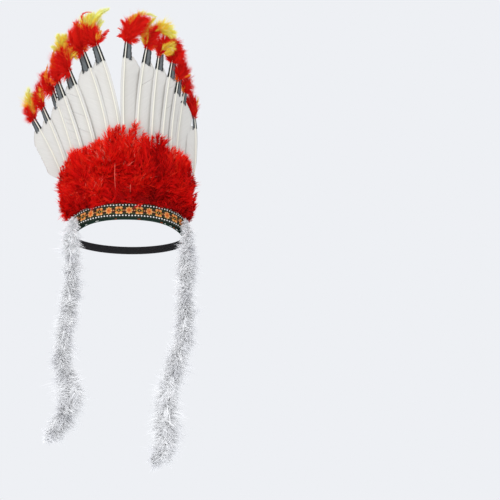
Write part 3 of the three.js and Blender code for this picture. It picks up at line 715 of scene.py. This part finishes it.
# How far barbs reach and how wide they open, by their place along the stem
BARB_REACH = ((0, 0.2, 0.6, 0.9, 1.0), (0.6, 1.0, 0.92, 0.66, 0.4))
BARB_OPENING = ((0, 0.6, 1.0), (1.15, 0.85, 0.3))
TUFT_BARBS = {
    "spread": 0.85, "width": 0.6, "droop": 0.1, "steps": 2, "wild": 0.2, "loose": 0.48, "ragged": 0.4,
}
FRINGE_BARBS = {"width": 1.1, "droop": 0.15, "steps": 3, "wild": 0.5, "loose": 0.7}
DOWN_COUNT = 320


def add_plume(soup, rng, line, face, tones, stem, barb, count, spread, width, droop, steps, wild,
              loose, ragged, bare=0.02):
    """A downy feather: barbs on both sides of a centre line, soft and uneven.

    tones holds the tone at the root, at the tip and how much it varies, stem the tone and
    radius of the stem. ragged tells how far the wisps, in which the barbs hang together,
    stand apart.
    """
    where = np.sort(rng.uniform(bare, 1.0, count))
    root, _ = between(line, where)
    along = unit(between(unit(np.gradient(line, axis=0)), where)[0])
    side = unit(np.cross(along, face))
    front = np.cross(side, along)
    hand = np.where(rng.random(count) < 0.5, -1.0, 1.0)[:, None]
    leaf = (where - bare) / (1 - bare)
    # barbs next to each other hang together in a wisp: its turn, lift and reach are shared
    each = 7 + 9 * ragged
    group = where * count / each
    wisp = group.astype(int) * 2 + (hand[:, 0] > 0)
    wisps = int(wisp.max()) + 1
    middle = (np.floor(group) + 0.5) * each / count
    length = barb * np.interp(leaf, *BARB_REACH) * rng.uniform(0.7, 1.0, count)
    length = length * (1 - ragged * rng.uniform(-0.18, 0.36, wisps))[wisp]
    opening = np.interp(where, *BARB_OPENING) * spread
    opening = (opening + rng.normal(0, 0.08, count) + rng.normal(0, 0.26 * ragged, wisps)[wisp])[:, None]
    lift = (rng.normal(0, 0.16, count) + rng.normal(0, 0.42 * loose, wisps)[wisp])[:, None]
    way = unit(along * np.cos(opening) + side * hand * np.sin(opening) + front * lift)
    bend = along * rng.uniform(0.0, 0.45, count)[:, None]
    bend = bend + front * rng.normal(0, 0.3 * loose, count)[:, None]
    bend[:, 2] -= droop * rng.random(count)
    bend += wild * swirl(root + 9 * side * hand)
    gather = along * ((middle - where) * np.linalg.norm(line[-1] - line[0]) / length)[:, None]
    curl = rng.normal(0, 0.07, (count, 3)) + rng.normal(0, 0.2 * loose, (wisps, 3))[wisp] + 0.8 * gather
    across = front + loose * rng.standard_normal((count, 3))
    tone = tones[0] + (tones[1] - tones[0]) * leaf + rng.normal(0, 0.5 * tones[2], count)
    tone = np.clip(tone + rng.normal(0, 1.4 * tones[2], wisps)[wisp], 0.01, 0.99)
    add_strands(soup, root, way, bend, length, width * rng.uniform(0.7, 1.2, count),
                np.cross(way, across), tone, steps, curl)
    add_tube(soup, line, np.linspace(stem[1], stem[1] * 0.3, len(line)), 4, stem[0])


def picture_step(pixel, x, y):
    """The step from a point of the picture to its place x, y, in millimetres."""
    up = (pixel[1] - y) * MM_PER_PIXEL / math.cos(math.radians(CAMERA_ELEVATION))
    return np.array([(x - pixel[0]) * MM_PER_PIXEL, 0, up])


def make_tuft(number, row):
    rng = np.random.default_rng(500 + number)
    soup = Soup()
    place, tangent, _, face = (v[0] for v in quill_frame(row, 1.0))
    foot = view_pixel(VIEW, place)
    s = np.linspace(0, 1, 18)[:, None]
    for hackle in [row for row in HACKLES if row["quill"] == number]:
        half = hackle["half"]
        start = place + tangent * rng.uniform(-1.5, 1.5)
        lean = face * hackle["front"]
        pull = start + picture_step(foot, hackle["pull_x"], hackle["pull_y"]) + lean
        tip = start + picture_step(foot, hackle["tip_x"], hackle["tip_y"]) + lean * 0.6
        line = arc(start, pull, tip, s)
        long = path_length(line)
        # the barbs lean past the end of the shaft, so it stops short of the tip
        line = line[: max(8, int(18 * (1 - 0.3 * half / long)))]
        look = unit(face + rng.normal(0, 0.2, 3))
        bare = hackle["bare"] * 0.85
        count = int(np.clip(long * (1 - bare) * (6 + 1.6 * half), 200, 1100))
        tones = (hackle["root"], hackle["end"], 0.04)
        add_plume(soup, rng, line, look, tones, (hackle["root"], 0.35), half * 2.25, count, bare=bare,
                  **TUFT_BARBS)
    # short down that hides the binding of the hackles
    way = unit(rng.standard_normal((DOWN_COUNT, 3)) + tangent * 0.5)
    root = place + tangent * rng.uniform(-3.0, 5.0, (DOWN_COUNT, 1)) + 0.9 * way
    add_strands(soup, root, way, tangent * 0.3 + 0 * way, rng.uniform(3, 7, DOWN_COUNT), 0.6,
                rng.standard_normal((DOWN_COUNT, 3)),
                np.clip(rng.normal(0.2, 0.06, DOWN_COUNT), 0.01, 0.5), 2)
    soup.build(f"tuft_{number:02d}", [tuft_plume], f"tip_tuft_{number:02d}")


def crest_at(angle):
    """Where the tallest plume ends that springs at a place on the band."""
    return np.stack([np.interp(angle, CREST["angle"], CREST[axis]) for axis in "xyz"], -1)


FRINGE_FOOT = 20.5
FRINGE_REACH_ANGLE = 68.5
FRINGE_BARB = 18.0
# How near to the axis its barbs may come, how far behind the crest and before it they may go
FRINGE_NEAREST = 96.5
FRINGE_BEHIND = 1.0
FRINGE_DEPTH = 24.0
# Layers of the fringe: share of the full height, radius at the root, reach outwards, how
# far the tips stray sideways, number of plumes and of barbs on each, how uneven the heights
# are, bend outwards, and how far its wisps stand apart
FRINGE_COLUMNS = ("name", "height", "root", "out", "stray", "plumes", "barbs", "uneven", "bend", "ragged")
FRINGE_ROWS = (
    ("back", 1.0, 97.0, 0.0, 1.5, 58, 440, 0.05, 0.16, 0.55),
    ("upper", 0.82, 97.7, 2.5, 6.0, 42, 440, 0.2, 0.04, 0.85),
    ("middle", 0.60, 98.4, 5.0, 9.0, 38, 420, 0.2, -0.08, 0.85),
    ("front", 0.36, 99.1, 7.0, 9.0, 36, 420, 0.2, -0.20, 0.85),
)
# How light the plumes are around the band: angles, then tones
FRINGE_SHADES = (
    (-70, -50, -37, -29, -20, -12, -3, 4, 10, 17, 25, 33, 45, 58, 70),
    (0.38, 0.40, 0.36, 0.54, 0.50, 0.30, 0.26, 0.50, 0.30, 0.08, 0.10, 0.30, 0.28, 0.16, 0.02),
)
UNDERLAY_COUNT = 260
UNDERLAY_REACH_ANGLE = 68.0
UNDERLAY_RADIUS = 97.3
UNDERLAY_WIDTH = 4.5
# Bare stems that show in front of the down: place on the band, lowest and highest point
STEMS = named(("angle", "low", "high"), ((-11, 24, 77), (0.7, 24, 46), (-46, 24, 42)))


def swirl(place):
    """A smooth pseudo-random push for each place, so that neighbouring barbs go together."""
    rng = np.random.default_rng(11)
    push = np.zeros_like(place)
    for number, wave in enumerate((0.13, 0.24, 0.42)):
        for axis in range(3):
            course = unit(rng.standard_normal(3)) * wave
            push[:, axis] += np.sin(place @ course + rng.uniform(0, 6.28)) * (0.75 - 0.15 * number)
    return push


def keep_near(soup):
    """Pushes what strays behind the quills back in front of them, and draws in the farthest."""
    turn = np.degrees(np.arctan2(CREST["x"], -CREST["y"]))
    room = np.hypot(CREST["x"], CREST["y"]) - FRINGE_BEHIND - FRINGE_NEAREST
    for verts in soup.verts:
        angle = np.degrees(np.arctan2(verts[:, 0], -verts[:, 1]))
        radius = np.hypot(verts[:, 0], verts[:, 1])
        rise = (verts[:, 2] - FRINGE_FOOT) / (np.interp(angle, turn, CREST["z"]) - FRINGE_FOOT)
        least = FRINGE_NEAREST + np.interp(angle, turn, room) * np.clip(rise, 0, 1.3)
        short = np.clip(least - radius, 0, None)
        far = np.clip(radius - least - FRINGE_DEPTH, 0, None)
        verts[:, :2] *= ((radius + 1.15 * short - 0.75 * far) / radius)[:, None]


def add_underlay(soup, rng):
    """Broad dark barbs close to the quills, so that none of them shows between the plumes; their dark red
    is painted shade deep in the fringe.
    """
    n = UNDERLAY_COUNT
    angle = -UNDERLAY_REACH_ANGLE + 2 * UNDERLAY_REACH_ANGLE * (np.arange(n) + rng.random(n)) / n
    root = on_band(UNDERLAY_RADIUS, angle, 22)
    way = crest_at(angle) - root
    length = np.linalg.norm(way, axis=1) * rng.uniform(0.7, 0.86, n)
    add_strands(soup, root, unit(way), np.zeros((n, 3)), length, UNDERLAY_WIDTH,
                ring_point(1.0, angle + 90, 0.0), rng.uniform(0.08, 0.4, n))


def add_fringe_plume(soup, rng, layer, angle):
    start = on_band(layer["root"], angle, FRINGE_FOOT)
    outward = ring_point(1.0, angle, 0.0)
    sideways = ring_point(1.0, angle + 90, 0.0)
    share = layer["height"] * (1 - rng.uniform(0.0, layer["uneven"]))
    goal = start + (crest_at(angle) - start) * share - 2.0 * UP + outward * layer["out"]
    goal = goal + sideways * rng.normal(0, layer["stray"])
    long = np.linalg.norm(goal - start)
    curve = outward * layer["bend"] + sideways * rng.normal(0, 0.02 * layer["stray"])
    first = unit(goal - start + curve * long)
    s = np.linspace(0, 1, 14)[:, None]
    line = start + first * long * s + ((goal - start) / long - first) * long * s * s
    face = unit(outward + rng.normal(0, 0.7, 3))
    shade = np.interp(angle, *FRINGE_SHADES) + rng.uniform(-0.17, 0.17)
    # each plume is darker at the root and lighter at the tip: painted shade deep in the fringe and
    # painted light on the tips
    tones = (shade - 0.14, min(shade + 0.34, 0.76), 0.11)
    end = 1 - 0.5 * smooth((abs(angle) - 50) / 16)
    add_plume(soup, rng, line, face, tones, (shade, 0.42), FRINGE_BARB * end, layer["barbs"],
              spread=rng.uniform(0.9, 1.3), ragged=layer["ragged"], **FRINGE_BARBS)


def make_fringe():
    for number, layer in enumerate(named(FRINGE_COLUMNS, FRINGE_ROWS)):
        rng = np.random.default_rng(700 + number)
        soup = Soup()
        count = layer["plumes"]
        for k in range(count):
            share = (k + 0.5 + rng.uniform(-0.35, 0.35)) / count
            add_fringe_plume(soup, rng, layer, FRINGE_REACH_ANGLE * (2 * share - 1))
        if layer["name"] == "back":
            add_underlay(soup, rng)
        keep_near(soup)
        if layer["name"] == "front":
            for stem in STEMS:
                rise = np.linspace(stem["low"], stem["high"], 12)
                line = ring_point(TRIM_OUTER + 4 + 15 * smooth((rise - 21) / 40), stem["angle"], rise)
                add_tube(soup, line, np.linspace(0.6, 0.4, 12), 5, 0.98)
        soup.build(f"red_fringe_{layer['name']}", [red_plume], "red_plume_fringe")


def make_boa(side, sewn, rows, seed):
    rng = np.random.default_rng(seed)
    table = np.array(rows, float)
    table[:, :3] += on_band(TRIM_OUTER + BOA_STANDOFF, *sewn)
    line = spline(table, BOA_PLACES)
    core, full = line[:, :3], line[:, 3]
    # strands stand in tufts: each tuft has its own direction and length, and a grey of painted shade, as
    # if it lay in the shade of others
    tufts = BOA_TUFTS
    where = np.sort(rng.uniform(0, 1, tufts))
    root, low = between(core, where)
    along = unit(np.gradient(core, axis=0))[low]
    size = np.interp(where, np.linspace(0, 1, BOA_PLACES), full)
    first = unit(np.cross(along, np.array([0.1, 1.0, 0.2])))
    second = np.cross(along, first)
    turn = np.arange(tufts) * 2.4 + rng.normal(0, 0.5, tufts)
    out = first * np.cos(turn)[:, None] + second * np.sin(turn)[:, None]
    heading = unit(out + along * rng.normal(0.1, 0.4, tufts)[:, None])
    reach = (BOA_HALF_WIDTH - BOA_CORE * 0.6) * size * rng.uniform(0.76, 1.0, tufts)
    # grey of each tuft: painted shade
    tuft_shade = rng.normal(0.60, 0.22, tufts)
    n = tufts * BOA_STRANDS
    of = np.repeat(np.arange(tufts), BOA_STRANDS)
    stray = rng.normal(0, 0.36, (n, 3))
    way = unit(heading[of] + stray)
    foot = root[of] + along[of] * rng.normal(0, 2.4, (n, 1)) + way * BOA_CORE * 0.6 * size[of][:, None]
    bend = rng.normal(0, 0.1, (n, 3)) + rng.normal(0, 0.17, (tufts, 3))[of] - 0.2 * UP
    curl = rng.normal(0, 0.08, (n, 3)) + rng.normal(0, 0.2, (tufts, 3))[of] - 0.75 * stray
    across = rng.standard_normal((n, 3))
    length = reach[of] * rng.uniform(0.55, 1.08, n)
    tone = np.clip(tuft_shade[of] + rng.normal(0, 0.1, n), 0.01, 0.99)
    soup = Soup()
    add_strands(soup, foot, way, bend, length, rng.uniform(0.7, 1.2, n), across, tone, 3, curl)
    k = np.arange(BOA_PLACES)
    bumps = 0.9 + 0.08 * np.sin(k * 0.9) + 0.06 * np.sin(k * 0.37 + seed)
    add_tube(soup, core, BOA_CORE * full * bumps, 14, 0.7)
    soup.build(f"boa_{side}_plumes", [white_plume], f"boa_{side}")


# Woven trim

# Colours of the threads, by number
THREADS = {
    "black": (0.012, 0.014, 0.011),
    "white": (0.80, 0.79, 0.74),
    "orange": (0.80, 0.27, 0.055),
    "peach": (0.88, 0.47, 0.19),
    "gold": (0.50, 0.30, 0.055),
    "rust": (0.55, 0.10, 0.02),
    "maroon": (0.085, 0.018, 0.012),
    "olive": (0.055, 0.058, 0.018),
    "brown": (0.045, 0.03, 0.012),
    "green": (0.018, 0.046, 0.03),
}
THREAD = {name: number for number, name in enumerate(THREADS)}
trim_weave = palette_material("trim_weave", list(THREADS.values()), 0.75)
STITCH = 0.7
MOTIF_STEP = 15.3
MOTIF_HEIGHT = 10.5
DOT_STEP = 4.7
DOT_ROWS = (2.6, 18.5)
BORDER_HALF = 2.3
DOME_SIDES = 8
# Sparse coloured stitches near the lower edge of the ground strip
EDGE_HEIGHT = -1.3
EDGE_STITCHES = named(("angle", "count", "thread"), (
    (-44, 3, "white"), (-31, 4, "white"), (-12, 2, "rust"), (9.8, 3, "rust"), (33, 3, "rust"),
    (37, 2, "white"), (44, 3, "white"), (48.5, 2, "rust"), (53, 3, "white"),
))


def motif_thread(s, z):
    """Number of the thread that shows at arc place s and height z of the woven trim."""
    place = (s + MOTIF_STEP / 2) % (2 * MOTIF_STEP)
    flower = place < MOTIF_STEP
    x = place % MOTIF_STEP - MOTIF_STEP / 2
    h = z - MOTIF_HEIGHT
    side, high = np.abs(x), np.abs(h)
    gap = MOTIF_STEP / 2 - side
    r = np.hypot(x, h)
    petal = np.abs(np.cos(4 * np.arctan2(h, x)))
    petals = flower & (r < 3.7 + 1.9 * petal)
    lobes = ~flower & (np.hypot((side - 3.0) / 2.5, (high - 3.7) / 2.0) < 1.0)
    eye = np.where(flower, np.inf, side / 4.4 + high / 3.2)
    shapes = (
        # ground, then a small light stitch and dark corners between two motifs
        (high > 3.8, "olive"),
        ((gap < 2.0) & (high < 2.6), "maroon"),
        ((gap < 0.8) & (high < 0.9), "peach"),
        ((gap < 1.6) & (high > 3.2) & (high < 5.0), "green"),
        # flower with eight petals
        (petals & (r >= 3.4), "peach"),
        (petals & (r < 3.4), "orange"),
        (petals & (r > 2.4) & (petal < 0.28), "rust"),
        (flower & (r < 1.5), "rust"),
        # four lobes about a dark eye
        (~flower & (side / 6.2 + high / 6.0 < 1.0), "gold"),
        (lobes, "orange"),
        (lobes & (high > 3.6) & (side > 1.6), "peach"),
        (eye < 1.0, "olive"),
        (eye < 0.62, "black"),
        (eye < 0.26, "peach"),
        (~flower & (h > 3.4) & (h < 6.0) & (side < 0.9), "rust"),
        (~flower & (high < 0.6) & (side > 3.4) & (side < 5.6), "gold"),
        # borders of the dots, then the edges
        (np.min([np.abs(z - row) for row in DOT_ROWS], 0) < BORDER_HALF, "black"),
        (z > 20.2, "olive"),
        (z < 0.8, "green"),
    )
    thread = np.full(s.shape, THREAD["brown"])
    for inside, name in shapes:
        thread[inside] = THREAD[name]
    return thread


def trim_point(radius, s, z):
    return on_band(radius, np.degrees(s / TRIM_OUTER), z)


def thread_tone(thread):
    return (np.asarray(thread, float) + 0.5) / len(THREADS)


def add_dome(soup, radius, angle, z, wide, high, lift, name):
    """A small raised stitch with an oval outline, at a place on the band."""
    place = on_band(radius, angle, z)
    out = ring_point(1.0, angle, 0.0)
    across = ring_point(1.0, angle + 90, 0.0)
    turn = np.linspace(0, 2 * np.pi, DOME_SIDES, endpoint=False)
    rings = []
    for share, rise in ((1.0, 0.0), (0.8, 0.7), (0.35, 1.0)):
        ring = place + across * (np.cos(turn) * wide * share)[:, None]
        rings.append(ring + UP * (np.sin(turn) * high * share)[:, None] + out * lift * rise)
    verts = np.vstack(rings + [place[None] + out * lift * 1.02])
    k = np.arange(len(verts))
    uv = np.stack([thread_tone(THREAD[name]) + 0.008 * np.cos(k), np.linspace(0.2, 0.8, len(verts))], 1)
    soup.add(verts, [ring_quads(3, DOME_SIDES), fan(2 * DOME_SIDES, DOME_SIDES, 3 * DOME_SIDES)], uv)


def make_trim():
    """The woven trim: a body, a roof-shaped thread for every stitch, and raised dots."""
    rng = np.random.default_rng(40)
    soup = Soup()
    reach = math.radians(BAND_END_ANGLE) * TRIM_OUTER
    columns, rows = int(2 * reach / STITCH), int(TRIM_TOP / STITCH)
    half_s, half_z = reach / columns, TRIM_TOP / rows / 2
    s_mid = -reach + (2 * np.arange(columns) + 1) * half_s
    z_mid = (2 * np.arange(rows) + 1) * half_z
    s, z = (a.ravel() for a in np.meshgrid(s_mid, z_mid))
    thread = motif_thread(s, z)
    tone = thread_tone(thread)
    bright = np.isin(thread, [THREAD[name] for name in ("orange", "peach", "gold", "white")])
    raised = np.where(bright, 0.38, 0.2) + rng.uniform(-0.04, 0.04, len(s))
    corners = []
    for ds, dz, share in ((-1, -1, 0), (1, -1, 0), (1, 0, 1), (-1, 0, 1), (1, 1, 0), (-1, 1, 0)):
        radius = TRIM_OUTER - 0.1 + raised * share
        corners.append(trim_point(radius, s + ds * half_s * 0.98, z + dz * half_z))
    base = (np.arange(len(s)) * 6)[:, None]
    faces = np.concatenate([base + np.array([[0, 1, 2, 3]]), base + np.array([[3, 2, 4, 5]])])
    uv = np.stack([tone[:, None] + np.array([[-1, 1, 1, -1, 1, -1]]) * 0.01,
                   0.5 + np.array([[-1, -1, 0, 0, 1, 1]]) * 0.4 + 0 * tone[:, None]], 2)
    soup.add(np.stack(corners, 1), [faces], uv)
    s, z = np.meshgrid(np.linspace(-reach, reach, 97), np.linspace(0, TRIM_TOP, 5))
    wall = trim_point((TRIM_INNER + TRIM_OUTER) / 2, s, z)
    out = ring_point(1.0, np.degrees(s / TRIM_OUTER), 0.0)
    uv = np.stack([thread_tone(THREAD["brown"]) + 0.005 * np.sin(s.ravel()), z.ravel() / 40 + 0.2], 1)
    add_shell(soup, wall, out, TRIM_OUTER - TRIM_INNER - 0.2, uv)
    count = int(reach / DOT_STEP)
    for row in DOT_ROWS:
        for k in range(-count, count + 1):
            angle = math.degrees(k * DOT_STEP / TRIM_OUTER)
            add_dome(soup, TRIM_OUTER, angle, row + rng.uniform(-0.12, 0.12), 1.35, 1.1, 0.55, "white")
    soup.build("trim_weave", [trim_weave], "browband_trim", False)


def make_edge_stitches():
    soup = Soup()
    for row in EDGE_STITCHES:
        for k in range(row["count"]):
            angle = row["angle"] + (k - row["count"] / 2) * 0.9
            add_dome(soup, BASE_OUTER, angle, EDGE_HEIGHT, 0.75, 0.8, 0.35, row["thread"])
    soup.build("edge_stitches", [trim_weave], smooth_faces=False)


def dress_kept_nodes():
    """The plain ground strip and the elastic keep their CAD form and get a weave."""
    ground = cloth_material("ground_weave", (0.035, 0.075, 0.05), (0.014, 0.034, 0.024), 500.0, 0.5)
    elastic = cloth_material("elastic_rib", (0.028, 0.028, 0.03), (0.012, 0.012, 0.013), 420.0, 0.2)
    for node, material in (("base_band", ground), ("elastic_strap", elastic)):
        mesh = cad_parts[node].data
        mesh.materials.clear()
        mesh.materials.append(material)


# Camera, floor and light


def make_camera():
    data = bpy.data.cameras.new("camera")
    data.sensor_width = SENSOR_MM
    data.lens = SENSOR_MM * VIEW["focal"] / PICTURE_SIDE
    bpy.context.scene.camera = aim_object("camera", data, VIEW["eye"] * MM, VIEW["ahead"])


def make_light(name, place, target, power):
    data = bpy.data.lights.new(name, "AREA")
    data.size = LIGHT_SIZE
    data.energy = power
    aim_object(name, data, place, Vector(target) - Vector(place))


def make_set():
    mesh = bpy.data.meshes.new("floor")
    corners = np.array([(-1, -1, 0), (1, -1, 0), (1, 1, 0), (-1, 1, 0)]) * FLOOR_SIDE / 2
    mesh.from_pydata((corners + UP * FLOOR_HEIGHT) * MM, [], [(0, 1, 2, 3)])
    paint = Paint("floor_paper", 0.8)
    paint.shader.inputs["Base Color"].default_value = (0.86, 0.87, 0.89, 1)
    mesh.materials.append(paint.material)
    link_object("floor", mesh)
    world = bpy.data.worlds.new("studio")
    bpy.context.scene.world = world
    world.use_nodes = True
    world.node_tree.nodes["Background"].inputs["Color"].default_value = (*BACKDROP, 1)
    make_light("key", (-1.6, -1.8, 1.3), (0, 0, 0.05), 28)
    make_light("fill", (1.6, -1.7, 0.4), (0, 0, 0), 7)
    bpy.context.scene.view_settings.view_transform = "Standard"


make_camera()
make_set()
for index, quill in enumerate(QUILLS, start=1):
    make_feather(index, quill)
    make_black_tip(index, quill)
    make_tuft(index, quill)
make_fringe()
make_trim()
make_edge_stitches()
dress_kept_nodes()
make_boa("left", BOA_LEFT_SEWN, BOA_LEFT_LINE, 900)
make_boa("right", BOA_RIGHT_SEWN, BOA_RIGHT_LINE, 901)
